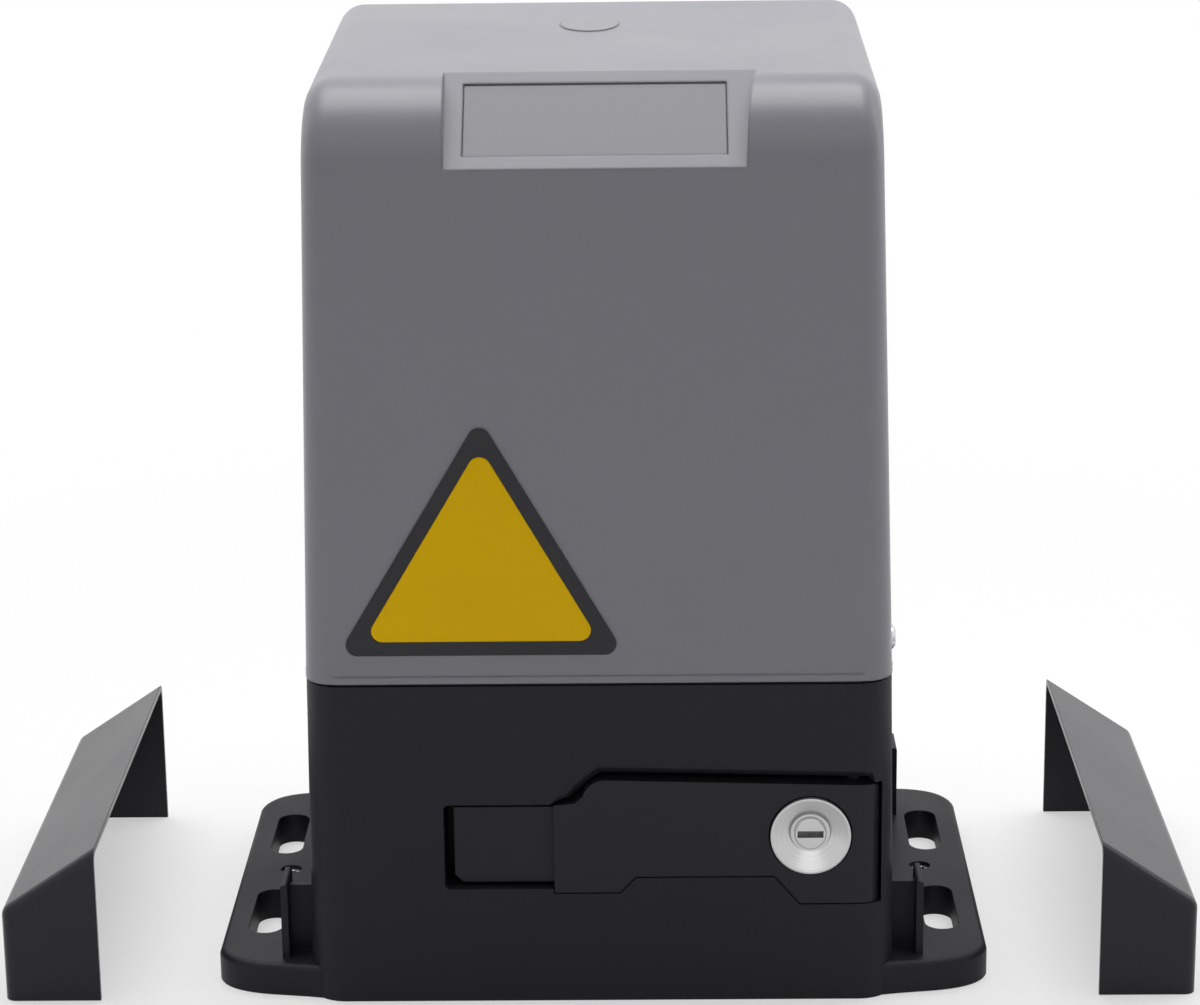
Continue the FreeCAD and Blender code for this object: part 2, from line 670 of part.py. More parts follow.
def lock_cam():
    f = FRONT
    arm = box(LOCK_X - 16.0, LOCK_X, f + 24.4, f + 26.4, LOCK_Z - 6.0, LOCK_Z + 6.0)
    ear = edges_where(arm, lambda e: abs(e.tangentAt(e.FirstParameter).y) > 0.99 and e.BoundBox.XMax < LOCK_X - 10)
    arm = arm.makeFillet(4.0, ear)
    eye = rod_y(LOCK_X, LOCK_Z, f + 24.4, f + 26.4, 7.0)
    hole = box(LOCK_X - 3.0, LOCK_X + 3.0, f + 24.0, f + 27.0, LOCK_Z - 3.0, LOCK_Z + 3.0)
    return joined(arm, eye).cut(hole)


def lock_cam_screw():
    head = rod_y(LOCK_X, LOCK_Z, FRONT + 26.4, FRONT + 29.0, 4.5)
    return head.cut(box(LOCK_X - 5, LOCK_X + 5, FRONT + 28.2, FRONT + 30, LOCK_Z - 0.5, LOCK_Z + 0.5))


def release_plunger():
    """Rod pushed in by the closed lever; its collar keeps it from falling out."""
    rod = rod_y(0, SHAFT_Z, FRONT + 20.4, 3.4, 4.0)
    collar = rod_y(0, SHAFT_Z, FRONT + 42.0, FRONT + 45.0, 7.5)
    return joined(rod, collar)


def plunger_guide():
    flange = rod_y(0, SHAFT_Z, FRONT + POCKET_DEPTH - 1.5, FRONT + POCKET_DEPTH, 9.0)
    tube = rod_y(0, SHAFT_Z, FRONT + POCKET_DEPTH - 0.5, FRONT + POCKET_DEPTH + 3.0, 6.5)
    return joined(flange, tube).cut(rod_y(0, SHAFT_Z, FRONT, 0, 4.0 + RUN))


# ---------- gears ----------

def involute(r_base, r):
    a = math.sqrt(max((r / r_base) ** 2 - 1, 0))
    return a - math.atan(a)


def gear_points(module, teeth, r_root, r_tip, slack, steps):
    """Points of a spur gear outline with involute flanks, thinned by the slack."""
    pitch = module * teeth / 2
    r_base = pitch * math.cos(math.radians(20))
    half = math.pi / (2 * teeth) - slack / (2 * pitch) + involute(r_base, pitch)
    pts = []
    for i in range(teeth):
        mid = 2 * math.pi * i / teeth
        flank = []
        start = max(r_base, r_root)
        for k in range(steps + 1):
            r = start + (r_tip - start) * k / steps
            flank.append((r, half - involute(r_base, r)))
        if r_root < r_base:
            flank.insert(0, (r_root, half + 0.02))
        for r, a in flank:
            pts.append((r * math.cos(mid - a), r * math.sin(mid - a)))
        for r, a in reversed(flank):
            pts.append((r * math.cos(mid + a), r * math.sin(mid + a)))
    return pts


def drive_pinion():
    y0, y1 = PINION_Y
    pitch = PINION_M * PINION_T / 2
    pts = gear_points(PINION_M, PINION_T, pitch - 1.2 * PINION_M, pitch + PINION_M, 0.2, 4)
    blank = prism_xz([(x, z + SHAFT_Z) for x, z in pts], y0, y1)
    ease = revolve_y([(0, y0), (pitch + 1.0, y0), (pitch + 5.0, y0 + 3.0), (pitch + 5.0, y1 - 3.0),
                      (pitch + 1.0, y1), (0, y1)], 0, SHAFT_Z)
    gear = blank.common(ease)
    dish = revolve_y([(17.0, y1 - 3.0), (pitch - 9.0, y1 - 3.0), (pitch - 8.0, y1 + 1), (17.0, y1 + 1)], 0, SHAFT_Z)
    gear = gear.cut(dish).cut(rod_y(0, SHAFT_Z, y0 - 1, y1 + 1, SHAFT_R))
    return gear.cut(key_box(y0 - 1, y1 + 1))


def key_box(y0, y1):
    return box(-4.0, 4.0, y0, y1, SHAFT_Z + SHAFT_R - 4.0, SHAFT_Z + SHAFT_R + 3.0)


def pinion_key():
    return key_box(PINION_Y[0] + 2, PINION_Y[1] - 2)


def pinion_screw():
    y = PINION_Y[1]
    washer = rod_y(0, SHAFT_Z, y, y + 2.5, 15.5)
    head = prism_xz(hexagon(0, SHAFT_Z, 13.0, 0), y + 2.5, y + 7.8)
    stem = rod_y(0, SHAFT_Z, y - 20.0, y + 3.0, 4.0)
    return joined(washer, head, stem)


def output_shaft():
    y1 = PINION_Y[1] - 0.5
    steps = [(5.6, 17.6, 10.0 - RUN), (17.6, 30.0, SHAFT_R), (30.0, 54.0, SHAFT_R + 1.5),
             (54.0, 67.0, 16.0), (67.0, y1, SHAFT_R)]
    parts = [rod_y(0, SHAFT_Z, a, b, r) for a, b, r in steps]
    shaft = joined(*parts)
    shaft = shaft.cut(key_box(PINION_Y[0] + 2, PINION_Y[1] - 2))
    shaft = shaft.cut(rod_y(0, SHAFT_Z, y1 - 20.0, y1 + 1, 4.0))
    return shaft.cut(box(-4, 4, 32, 52, SHAFT_Z + 10.0, SHAFT_Z + 17))


def wheel_key():
    return box(-4, 4, 32, 52, SHAFT_Z + 10.0, SHAFT_Z + 17.0)


def worm_wheel():
    """Bronze wheel: hub, dished web and a rim of slanted teeth that match the worm's lead."""
    r = WHEEL_M * WHEEL_T / 2
    y0 = WHEEL_Y - WHEEL_W / 2
    y1 = WHEEL_Y + WHEEL_W / 2
    hub = rod_y(0, SHAFT_Z, 31.0, 53.0, 21.0)
    rim = rod_y(0, SHAFT_Z, y0, y1, r - 3.1)
    web = revolve_y([(21.0, y0 - 1), (r - 9.0, y0 - 1), (r - 9.0, y0 + 4), (21.0, y0 + 4)], 0, SHAFT_Z)
    web2 = revolve_y([(21.0, y1 - 4), (r - 9.0, y1 - 4), (r - 9.0, y1 + 1), (21.0, y1 + 1)], 0, SHAFT_Z)
    core = joined(hub, rim).cut(web).cut(web2)
    lean = math.degrees(math.atan(WORM_LEAD / (2 * math.pi * WORM_R)))
    tooth = Part.makePolygon([V(-r + 4.0, -12, -2.3), V(-r - 2.5, -12, -0.8), V(-r - 2.5, -12, 0.8),
                              V(-r + 4.0, -12, 2.3), V(-r + 4.0, -12, -2.3)])
    tooth = Part.Face(tooth).extrude(V(0, 24, 0))
    tooth.rotate(V(0, 0, 0), V(1, 0, 0), lean)
    teeth = []
    for i in range(WHEEL_T):
        one = tooth.copy()
        one.rotate(V(0, 0, 0), V(0, 1, 0), 360.0 * i / WHEEL_T)
        one.translate(V(0, WHEEL_Y, SHAFT_Z))
        teeth.append(one)
    ring = rod_y(0, SHAFT_Z, y0, y1, r + 2.5)
    wheel = core.multiFuse([t.common(ring) for t in teeth])
    wheel = wheel.cut(rod_y(0, SHAFT_Z, 20, 60, SHAFT_R + 1.5))
    return wheel.cut(wheel_key()).removeSplitter()


def worm_shaft():
    """Motor shaft with a single-start right-hand worm cut at its lower end."""
    root = WORM_R - 3.1
    tip = WORM_R + WHEEL_M
    turns = 5
    z0 = SHAFT_Z - WORM_LEAD * turns / 2
    helix = Part.makeHelix(WORM_LEAD, WORM_LEAD * turns, WORM_R)
    profile = Part.makePolygon([V(root - 0.4, 0, -2.25), V(tip, 0, -0.75), V(tip, 0, 0.75), V(root - 0.4, 0, 2.25), V(root - 0.4, 0, -2.25)])
    thread = Part.Wire(helix.Edges).makePipeShell([profile], True, True)
    thread.translate(V(WORM_X, WHEEL_Y, z0 + WORM_LEAD / 2 - WORM_LEAD / 2))
    steps = [(9.0, 20.0, 7.5), (20.0, 104.0, root), (104.0, LID_Z + 4, 8.5), (LID_Z + 4, 202.0, 7.0), (202.0, 232.0, 5.0)]
    rods = [rod_z(WORM_X, WHEEL_Y, a, b, r) for a, b, r in steps]
    return joined(rods[0], *(rods[1:] + [thread]))


# ---------- bearings and seals ----------

def ring_y(y0, y1, r_in, r_out, groove):
    mid = (r_in + r_out) / 2
    g = groove
    profile = [(r_in, y0), (mid - 2.2, y0), (mid - 2.2, y0 + g), (mid + 2.2, y0 + g), (mid + 2.2, y0), (r_out, y0),
               (r_out, y1), (mid + 2.2, y1), (mid + 2.2, y1 - g), (mid - 2.2, y1 - g), (mid - 2.2, y1), (r_in, y1)]
    return revolve_y(profile, 0, SHAFT_Z)


def ring_z(z0, z1, r_in, r_out, groove):
    mid = (r_in + r_out) / 2
    g = groove
    w = (r_out - r_in) / 5
    profile = [(r_in, z0), (mid - w, z0), (mid - w, z0 + g), (mid + w, z0 + g), (mid + w, z0), (r_out, z0),
               (r_out, z1), (mid + w, z1), (mid + w, z1 - g), (mid - w, z1 - g), (mid - w, z1), (r_in, z1)]
    return revolve_z(profile, WORM_X, WHEEL_Y)


def bearing_front():
    return ring_y(5.0, 17.0, 10.0, 21.0, 0.6)


def bearing_rear():
    return ring_y(69.9, 84.9, SHAFT_R + RUN, 26.0, 0.6)


def oil_seal():
    return revolve_y([(SHAFT_R + RUN, 85.2), (26.0, 85.2), (26.0, 91.0), (20.0, 91.0), (17.0, 88.5), (SHAFT_R + RUN, 88.5)], 0, SHAFT_Z)


def worm_bearing_low():
    return ring_z(8.0, 17.0, 7.5 + RUN, 16.0, 0.5)


def worm_bearing_high():
    return ring_z(LID_Z - 7.0, LID_Z + 3.0, 8.5 + RUN, 17.5, 0.5)


def motor_bearing():
    return ring_z(CAN_TOP + 3.0, CAN_TOP + 11.0, 5.0 + RUN, 11.0, 0.5)


# ---------- gearbox lid and motor ----------

def gearbox_lid():
    x0, x1 = BOX_X
    y0, y1 = BOX_Y
    lid = box(x0, x1, y0, y1, BOX_TOP, LID_Z)
    upright = edges_where(lid, lambda e: abs(e.tangentAt(e.FirstParameter).z) > 0.99)
    lid = lid.makeFillet(6.0, upright)
    lid = joined(lid, rod_z(WORM_X, WHEEL_Y, LID_Z - 1, LID_Z + 4.0, 22.0))
    lid = lid.cut(rod_z(WORM_X, WHEEL_Y, 100, 130, 9.2))
    for x, y in LID_SCREWS:
        lid = lid.cut(rod_z(x, y, BOX_TOP - 1, LID_Z + 1, LID_SCREW_R))
        lid = lid.cut(rod_z(x, y, LID_Z - 4.2, LID_Z + 1, 4.4))
    return lid.cut(rod_z(WORM_X, WHEEL_Y, LID_Z - 7.0, 130, 17.5))


def lid_screws():
    out = []
    for x, y in LID_SCREWS:
        head = rod_z(x, y, LID_Z - 4.2, LID_Z - 0.3, 4.0)
        shank = rod_z(x, y, BOX_TOP - 12.0, LID_Z - 4.2, LID_SCREW_R)
        out.append(joined(head, shank).cut(prism_xy(hexagon(x, y, 4.0, 0), LID_Z - 2.6, LID_Z)))
    return Part.makeCompound(out)


def motor_can():
    """Finned aluminium can: a turned shell with upright cooling fins."""
    r = MOTOR_R
    shell = revolve_z([(r - 6.5, LID_Z + 3.0), (r - 3.0, LID_Z + 3.0), (r - 3.0, CAN_TOP), (r - 6.5, CAN_TOP)], WORM_X, WHEEL_Y)
    foot = revolve_z([(22.0, LID_Z), (r, LID_Z), (r, LID_Z + 5.0), (22.0, LID_Z + 5.0)], WORM_X, WHEEL_Y)
    fins = []
    for i in range(24):
        fin = box(r - 4.5, r, -1.1, 1.1, LID_Z + 4, CAN_TOP - 3)
        fin.rotate(V(0, 0, 0), V(0, 0, 1), 15.0 * i)
        fin.translate(V(WORM_X, WHEEL_Y, 0))
        fins.append(fin)
    return joined(shell, foot, *fins)


def stator_core():
    r = MOTOR_R - 6.5
    return revolve_z([(22.5, 138.0), (r, 138.0), (r, 180.0), (22.5, 180.0)], WORM_X, WHEEL_Y)


def stator_windings():
    low = revolve_z([(23.5, 126.0), (32.0, 126.0), (34.0, 138.0), (23.5, 138.0)], WORM_X, WHEEL_Y)
    high = revolve_z([(23.5, 180.0), (34.0, 180.0), (32.0, 192.0), (23.5, 192.0)], WORM_X, WHEEL_Y)
    return Part.makeCompound([low, high])


def rotor():
    return revolve_z([(7.0, 136.0), (18.0, 136.0), (22.0, 138.0), (22.0, 180.0), (18.0, 182.0), (7.0, 182.0)], WORM_X, WHEEL_Y)


def motor_end_bell():
    r = MOTOR_R
    t = CAN_TOP
    bell = revolve_z([(8.0, t), (r, t), (r, t + 3.0), (r - 12, t + 9.0), (16.0, t + 13.0), (6.0, t + 13.0), (6.0, t + 11.0), (8.0, t + 11.0)], WORM_X, WHEEL_Y)
    bell = bell.cut(rod_z(WORM_X, WHEEL_Y, t - 1, t + 11.0, 11.0))
    for i in range(6):
        vent = box(20.0, 30.0, -3.5, 3.5, t - 1, t + 20)
        vent.rotate(V(0, 0, 0), V(0, 0, 1), 60.0 * i + 30)
        vent.translate(V(WORM_X, WHEEL_Y, 0))
        bell = bell.cut(vent)
    return bell


def motor_fan():
    z = CAN_TOP + 16.0
    hub = rod_z(WORM_X, WHEEL_Y, z, z + 12.0, 10.0)
    disc = rod_z(WORM_X, WHEEL_Y, z, z + 1.6, 34.0)
    blades = []
    for i in range(9):
        blade = box(9.0, 34.0, -0.8, 0.8, z + 1.0, z + 11.0)
        blade.rotate(V(9, 0, 0), V(0, 0, 1), 18)
        blade.rotate(V(0, 0, 0), V(0, 0, 1), 40.0 * i)
        blade.translate(V(WORM_X, WHEEL_Y, 0))
        blades.append(blade)
    fan = joined(hub, disc, *blades)
    return fan.cut(rod_z(WORM_X, WHEEL_Y, z - 1, z + 20, 5.0))


# ---------- deck and electronics ----------

DECK_Z = LID_Z


def deck_tray():
    ring = rounded_rect(HALF_SEAM - 6.2, FRONT + 6.2, BACK - 6.2, 7.0, DECK_Z)
    deck = Part.Face(ring).extrude(V(0, 0, 2.6))
    deck = deck.cut(rod_z(WORM_X, WHEEL_Y, 100, 130, MOTOR_R + 1.5))
    deck = deck.cut(rod_z(CABLE_X, CABLE_Y, 100, 130, 15.0))
    for x, y in side_screw_places():
        s = 1 if x > 0 else -1
        deck = deck.cut(box(min(s * 90.5, s * 110), max(s * 90.5, s * 110), y - 8.6, y + 8.6, 100, 130))
    rib = box(-80, 80, -44.0, -42.0, DECK_Z + 2, DECK_Z + 7)
    rib = rib.cut(box(CABLE_X - 16, CABLE_X + 16, -50, -40, 100, 130))
    return joined(deck, rib)


def deck_screws():
    out = []
    for x, y in POSTS:
        head = rod_z(x, y, DECK_Z + 2.6, DECK_Z + 5.2, 3.6)
        out.append(head.cut(box(x - 4, x + 4, y - 0.5, y + 0.5, DECK_Z + 4.4, DECK_Z + 6)))
    return Part.makeCompound(out)


BOARD_Y = -53.0


def board_carrier():
    """Plastic back plate that stands on the deck and holds the control board upright."""
    z0 = DECK_Z + 2.6
    plate = box(-82, 82, BOARD_Y, BOARD_Y + 2.5, z0, 288)
    plate = plate.cut(box(-60, 60, BOARD_Y - 1, BOARD_Y + 4, 215, 270))
    feet = [box(x - 12, x + 12, BOARD_Y - 14, BOARD_Y + 8, z0, z0 + 2.5) for x in (-66, 66)]
    cheeks = [box(x - 1.2, x + 1.2, BOARD_Y, BOARD_Y + 9, z0, 280) for x in (-80.8, 80.8)]
    studs = [rod_y(x, z, BOARD_Y - 6.0, BOARD_Y + 1, 3.5) for x in (-72, 72) for z in (156, 279)]
    return joined(plate, *(feet + cheeks + studs))


def control_board():
    y1 = BOARD_Y - 6.0
    board = box(-78, 78, y1 - 1.6, y1, 148, 286)
    corners = edges_where(board, lambda e: abs(e.tangentAt(e.FirstParameter).y) > 0.99)
    return board.makeFillet(3.0, corners)


BOARD_FACE = BOARD_Y - 7.6


def terminal_blocks():
    out = []
    for x0, poles in ((-70.0, 12), (6.0, 12)):
        w = poles * 5.08
        block = prism_yz([(BOARD_FACE, 152), (BOARD_FACE - 9, 152), (BOARD_FACE - 12, 156), (BOARD_FACE - 12, 161),
                          (BOARD_FACE - 8, 164), (BOARD_FACE, 164)], x0, x0 + w)
        for i in range(poles):
            x = x0 + 5.08 * (i + 0.5)
            block = block.cut(box(x - 1.7, x + 1.7, BOARD_FACE - 13, BOARD_FACE - 5, 153.4, 157.2))
        out.append(block)
    return Part.makeCompound(out)


def relays():
    out = []
    for x in (-66, -40, -14):
        relay = box(x, x + 19, BOARD_FACE - 15.5, BOARD_FACE, 176, 205)
        rim = edges_where(relay, lambda e: e.BoundBox.YMax < BOARD_FACE - 15)
        out.append(relay.makeFillet(0.8, rim))
    return Part.makeCompound(out)


def fuse_holder():
    base = box(20, 44, BOARD_FACE - 4, BOARD_FACE, 182, 191)
    tube = rod_x(BOARD_FACE - 7.5, 186.5, 21, 43, 3.2)
    clips = [box(x, x + 4, BOARD_FACE - 8, BOARD_FACE - 3, 183.2, 189.8) for x in (21, 39)]
    return joined(base, tube, *clips)


def heat_sink():
    base = box(50, 72, BOARD_FACE - 3, BOARD_FACE, 230, 270)
    fins = [box(50 + 4 * i, 51.6 + 4 * i, BOARD_FACE - 18, BOARD_FACE - 2, 230, 270) for i in range(6)]
    return joined(base, *fins)


def transformer():
    """Laminated core with its coil showing front and rear, on two mounting ears."""
    z = DECK_Z + 2.6
    core = box(30, 88, 12, 36, z, z + 49)
    core = core.cut(box(39, 49, 5, 45, z + 9, z + 40)).cut(box(69, 79, 5, 45, z + 9, z + 40))
    ears = [box(28, 90, y, y + 3, z, z + 2.5) for y in (9.0, 36.0)]
    return joined(core, *ears)


def transformer_coil():
    z = DECK_Z + 2.6
    coil = box(39.2, 78.8, 3, 45, z + 9.2, z + 39.8)
    rim = edges_where(coil, lambda e: abs(e.tangentAt(e.FirstParameter).z) > 0.99)
    coil = coil.makeFillet(7.0, rim)
    return coil.cut(box(49, 69, 11.9, 36.1, z, z + 60))


CAP_X = 64.0
CAP_Y = 66.0


def capacitor():
    z = DECK_Z + 2.6
    can = revolve_z([(0, z), (15.8, z), (17.0, z + 1.2), (17.0, z + 76.8), (15.8, z + 78), (0, z + 78)], CAP_X, CAP_Y)
    tabs = [box(CAP_X + s - 0.4, CAP_X + s + 0.4, CAP_Y - 3, CAP_Y + 3, z + 77.5, z + 86) for s in (-6, 6)]
    return joined(can, *tabs)


def capacitor_clamp():
    z = DECK_Z + 2.6
    band = revolve_z([(17.0, z + 20), (18.4, z + 20), (18.4, z + 32), (17.0, z + 32)], CAP_X, CAP_Y)
    leg = box(CAP_X + 17.6, CAP_X + 19.4, CAP_Y - 6, CAP_Y + 6, z, z + 32)
    foot = box(CAP_X + 17.6, CAP_X + 28, CAP_Y - 6, CAP_Y + 6, z, z + 1.8)
    return joined(band, leg, foot).cut(rod_z(CAP_X, CAP_Y, z - 1, z + 60, 17.0))


def limit_sensor():
    z = DECK_Z + 2.6
    body = box(8, 38, 72, 83.5, z, z + 24)
    rim = edges_where(body, lambda e: e.BoundBox.ZMin > z + 1)
    body = body.makeFillet(1.0, rim)
    ears = [box(3, 43, 74, 81, z, z + 3)]
    return joined(body, *ears)


def hoods():
    return hood(HOOD_X_RIGHT), mirrored(hood(HOOD_X_LEFT))


def parts():
    hood_right, hood_left = hoods()
    return {
        "base_housing": base_housing(),
        "base_gasket": base_gasket(),
        "levelling_screws": levelling_screws(),
        "cable_grommet": cable_grommet(),
        "cover_shell": cover_shell(),
        "cover_screws": cover_screws(),
        "panel_insert": panel_insert(),
        "top_badge": top_badge(),
        "front_plate": front_plate(),
        "front_plate_field": front_plate_field(),
        "flange_hood_right": hood_right,
        "flange_hood_left": hood_left,
        "release_lever": release_lever(),
        "lever_pin": lever_pin(),
        "lock_barrel": lock_barrel(),
        "lock_nut": lock_nut(),
        "lock_plug": lock_plug(),
        "lock_cam": lock_cam(),
        "lock_cam_screw": lock_cam_screw(),
        "release_plunger": release_plunger(),
        "plunger_guide": plunger_guide(),
        "drive_pinion": drive_pinion(),
        "pinion_key": pinion_key(),
        "pinion_screw": pinion_screw(),
        "output_shaft": output_shaft(),
        "wheel_key": wheel_key(),
        "worm_wheel": worm_wheel(),
        "worm_shaft": worm_shaft(),
        "bearing_front": bearing_front(),
        "bearing_rear": bearing_rear(),
        "oil_seal": oil_seal(),
        "worm_bearing_low": worm_bearing_low(),
        "worm_bearing_high": worm_bearing_high(),
        "motor_bearing": motor_bearing(),
        "gearbox_lid": gearbox_lid(),
        "lid_screws": lid_screws(),
        "motor_can": motor_can(),
        "stator_core": stator_core(),
        "stator_windings": stator_windings(),
        "rotor_core": rotor(),
        "motor_end_bell": motor_end_bell(),
        "motor_fan": motor_fan(),
        "deck_tray": deck_tray(),
        "deck_screws": deck_screws(),
        "board_carrier": board_carrier(),
        "control_board": control_board(),
        "terminal_blocks": terminal_blocks(),
        "relays": relays(),
        "fuse_holder": fuse_holder(),
        "heat_sink": heat_sink(),
        "transformer_core": transformer(),
        "transformer_coil": transformer_coil(),
        "capacitor": capacitor(),
        "capacitor_clamp": capacitor_clamp(),
        "limit_sensor": limit_sensor(),
    }


def main():
    os.makedirs("parts", exist_ok=True)
    for name, shape in parts().items():
        shape.exportStep("parts/%s.step" % name)


main()
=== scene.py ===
"""Looks for the sliding gate motor: materials, floor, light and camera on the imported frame.

Lengths are in metres, angles in degrees and lamp powers in watts.
"""
import json
import math

import bpy
from mathutils import Matrix, Vector


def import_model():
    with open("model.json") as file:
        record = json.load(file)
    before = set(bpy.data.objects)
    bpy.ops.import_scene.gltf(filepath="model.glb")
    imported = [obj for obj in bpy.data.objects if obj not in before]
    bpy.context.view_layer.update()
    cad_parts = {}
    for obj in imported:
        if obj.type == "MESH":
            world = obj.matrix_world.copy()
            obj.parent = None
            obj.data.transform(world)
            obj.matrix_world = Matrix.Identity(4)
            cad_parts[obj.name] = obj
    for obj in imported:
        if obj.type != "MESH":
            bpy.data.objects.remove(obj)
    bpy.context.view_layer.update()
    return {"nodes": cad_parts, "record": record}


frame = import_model()
nodes = frame["nodes"]
finishes = {}
pivots = {joint["name"]: joint.get("pos_m") for joint in frame["record"]["behaviour"]["joints"]}

# finish of a moulded, painted or cast surface
GRAIN_DEPTH = 0.00004           # height of the fine grain
GRAIN_SHARE = 0.35              # share of the tone that follows the grain, not the patches
EDGE_ROUND = 0.0006             # how far sharp edges are softened
COVER_EDGE_ROUND = 0.0014       # the cover's mouldings are softer
BEVEL_SAMPLES = 4

# finish of turned metal and of stacked sheet
RING_SCALE = 2600.0
RING_DEPTH = 0.00003
SHEET_DEPTH = 0.0001
SHEET_METAL = 0.8
WAVE_SCALE_AT_1_M = 0.314       # wave texture scale that gives one band in a metre

# floor
FLOOR_HALF = 9.0
FLOOR_DROP = 0.0002             # keeps the paper clear of the base's underside
PAPER_TONES = (0.91, 0.93)
FADE_START, FADE_END = 0.22, 0.75   # distances from the middle between which it turns white
FADE_LEAST = 0.5                # share of plain white near the object

# room: dim in front of the object, light behind it
ROOM_FRONT, ROOM_BACK = 0.05, 0.85
ROOM_TURN = (-0.25, 0.75)       # directions along Y between which it brightens
ROOM_COLOUR = (1.0, 0.995, 1.0, 1.0)

# lamp: place, aim, width and height, power
LAMPS = {
    "overhead": ((0.0, 0.18, 1.55), (0.0, 0.05, 0.2), (1.6, 1.0), 20.5),
    "right_rear": ((1.05, 0.30, 0.55), (0.05, 0.0, 0.2), (0.35, 0.9), 1.4),
    "left_rear": ((-1.15, 0.45, 0.55), (-0.05, 0.0, 0.2), (0.3, 0.8), 0.6),
    "floor_wash": ((0.0, -0.66, 0.62), (0.0, -0.60, 0.0), (1.8, 0.3), 0.9),
}

# camera
CAMERA_PLACE = (0.0198, -1.22885, 0.5157)
CAMERA_PITCH, CAMERA_YAW, CAMERA_ROLL = 16.151, 0.928, -0.711
SENSOR_MM = 36.0
LENS_MM = 103.227
CLIP_END = 50.0

WHITE = (1.0, 1.0, 1.0, 1.0)


# ---------- material building blocks ----------

def new_material(name):
    """A material kept in finishes, with a principled shader joined to its output."""
    material = bpy.data.materials.new(name)
    finishes[name] = material
    material.use_nodes = True
    tree = material.node_tree
    tree.nodes.clear()
    out = tree.nodes.new("ShaderNodeOutputMaterial")
    bsdf = tree.nodes.new("ShaderNodeBsdfPrincipled")
    tree.links.new(bsdf.outputs[0], out.inputs[0])
    return tree, bsdf


def mapped(tree, scale):
    """Object coordinates, scaled along each axis."""
    coord = tree.nodes.new("ShaderNodeTexCoord")
    mapping = tree.nodes.new("ShaderNodeMapping")
    mapping.inputs["Scale"].default_value = scale
    tree.links.new(coord.outputs["Object"], mapping.inputs["Vector"])
    return mapping.outputs["Vector"]


def noise(tree, vector, scale, detail, rough=0.55):
    texture = tree.nodes.new("ShaderNodeTexNoise")
    texture.inputs["Scale"].default_value = scale
    texture.inputs["Detail"].default_value = detail
    texture.inputs["Roughness"].default_value = rough
    tree.links.new(vector, texture.inputs["Vector"])
    return texture.outputs["Fac"]


def ramp(tree, factor, stops):
    """Colour from a factor, through (position, colour) stops."""
    node = tree.nodes.new("ShaderNodeValToRGB")
    tree.links.new(factor, node.inputs["Fac"])
    elements = node.color_ramp.elements
    while len(elements) < len(stops):
        elements.new(0.5)
    for element, (position, colour) in zip(elements, stops):
        element.position = position
        element.color = (*colour, 1.0)
    return node.outputs["Color"]


def spread(tree, factor, low, high):
    """Stretch a noise factor, most of which lies between 0.3 and 0.7, over low to high."""
    node = tree.nodes.new("ShaderNodeMapRange")
    node.inputs["From Min"].default_value = 0.3
    node.inputs["From Max"].default_value = 0.7
    node.inputs["To Min"].default_value = low
    node.inputs["To Max"].default_value = high
    tree.links.new(factor, node.inputs["Value"])
    return node.outputs["Result"]


def shade(colour, factor):
    return tuple(min(max(part * factor, 0.0), 1.0) for part in colour)


def math_node(tree, operation, *values):
    """A math node: each value is a number or the socket that feeds it."""
    node = tree.nodes.new("ShaderNodeMath")
    node.operation = operation
    for socket, value in zip(node.inputs, values):
        if isinstance(value, (int, float)):
            socket.default_value = value
        else:
            tree.links.new(value, socket)
    return node.outputs[0]


def length_of(tree, vector):
    node = tree.nodes.new("ShaderNodeVectorMath")
    node.operation = "LENGTH"
    tree.links.new(vector, node.inputs[0])
    return node.outputs["Value"]


def bump(tree, bsdf, height, strength, depth, normal=None):
    node = tree.nodes.new("ShaderNodeBump")
    if normal is not None:
        tree.links.new(normal, node.inputs["Normal"])
    node.inputs["Strength"].default_value = strength
    node.inputs["Distance"].default_value = depth
    tree.links.new(height, node.inputs["Height"])
    tree.links.new(node.outputs["Normal"], bsdf.inputs["Normal"])


def surface(name, colour, rough, grain=1500.0, relief=0.12, metal=0.0, specular=0.5, vary=0.05,
            patch=22.0, rough_span=0.05, edge=EDGE_ROUND, tint=WHITE):
    """A moulded, painted, cast or machined surface: broad tone, fine grain, uneven gloss."""
    tree, bsdf = new_material(name)
    place = mapped(tree, (1, 1, 1))
    broad = noise(tree, place, patch, 4.0)
    fine = noise(tree, place, grain, 2.0, 0.6)
    patches = math_node(tree, "MULTIPLY", broad, 1.0 - GRAIN_SHARE)
    blend = math_node(tree, "MULTIPLY_ADD", fine, GRAIN_SHARE, patches)
    stops = [(0.30, shade(colour, 1 - vary)), (0.5, colour), (0.70, shade(colour, 1 + vary))]
    tree.links.new(ramp(tree, blend, stops), bsdf.inputs["Base Color"])
    gloss = spread(tree, broad, rough - rough_span, rough + rough_span)
    tree.links.new(gloss, bsdf.inputs["Roughness"])
    bsdf.inputs["Metallic"].default_value = metal
    bsdf.inputs["Specular IOR Level"].default_value = specular
    bsdf.inputs["Specular Tint"].default_value = tint
    soft = tree.nodes.new("ShaderNodeBevel")
    soft.samples = BEVEL_SAMPLES
    soft.inputs["Radius"].default_value = edge
    bump(tree, bsdf, fine, relief, GRAIN_DEPTH, soft.outputs[0])


